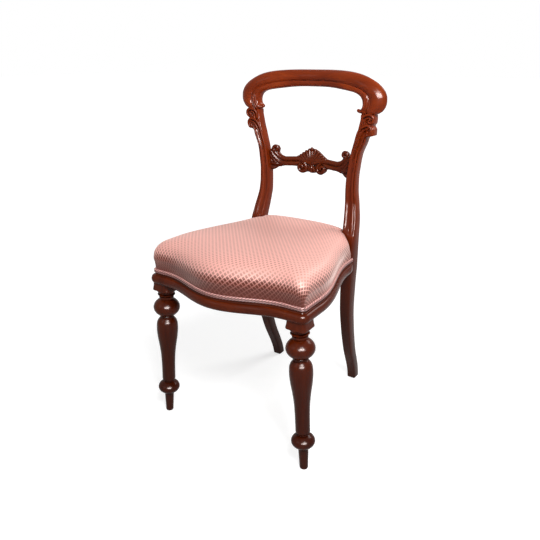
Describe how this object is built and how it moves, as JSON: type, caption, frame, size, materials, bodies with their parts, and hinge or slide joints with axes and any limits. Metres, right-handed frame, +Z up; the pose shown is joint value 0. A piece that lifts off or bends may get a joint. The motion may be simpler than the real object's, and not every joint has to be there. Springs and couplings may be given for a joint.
{
  "type": "balloon back dining chair",
  "caption": "Free-standing wooden dining chair with an open balloon-shaped back, a carved cross rail, turned front legs, sabre rear legs and a stuffed, fabric-covered seat.",
  "frame": {"origin": "on the floor, in the middle of the chair's overall width and depth", "axes": "+Z up, +X to the right as seen from the front, +Y towards the back; the chair faces -Y"},
  "size_m": [0.4724, 0.5158, 0.873],
  "materials": {
    "mahogany": "french polished, glossy",
    "inner_wood": "bare beech",
    "steel": "dull",
    "webbing": "woven jute and cotton",
    "hessian": "coarse weave",
    "stuffing": "hair under calico",
    "cover": "patterned satin",
    "piping": "satin double piping"
  },
  "bodies": {
    "root": {"front_leg_left": "mahogany", "front_leg_right": "mahogany", "rear_leg_left": "mahogany", "rear_leg_right": "mahogany", "crest_rail": "mahogany", "cross_rail": "mahogany", "front_rail": "mahogany", "side_rail_left": "mahogany", "side_rail_right": "mahogany", "back_rail": "mahogany", "front_corner_block_left": "inner_wood", "front_corner_block_right": "inner_wood", "rear_corner_block_left": "inner_wood", "rear_corner_block_right": "inner_wood", "corner_block_screws": "steel", "crest_dowels": "inner_wood", "cross_rail_dowels": "inner_wood", "webbing_long_1": "webbing", "webbing_long_2": "webbing", "webbing_long_3": "webbing", "webbing_long_4": "webbing", "webbing_cross_1": "webbing", "webbing_cross_2": "webbing", "webbing_cross_3": "webbing", "webbing_cross_4": "webbing", "webbing_tacks": "steel", "hessian": "hessian", "seat_pad": "stuffing", "seat_cover": "cover", "seat_piping": "piping"}
  },
  "joints": []
}
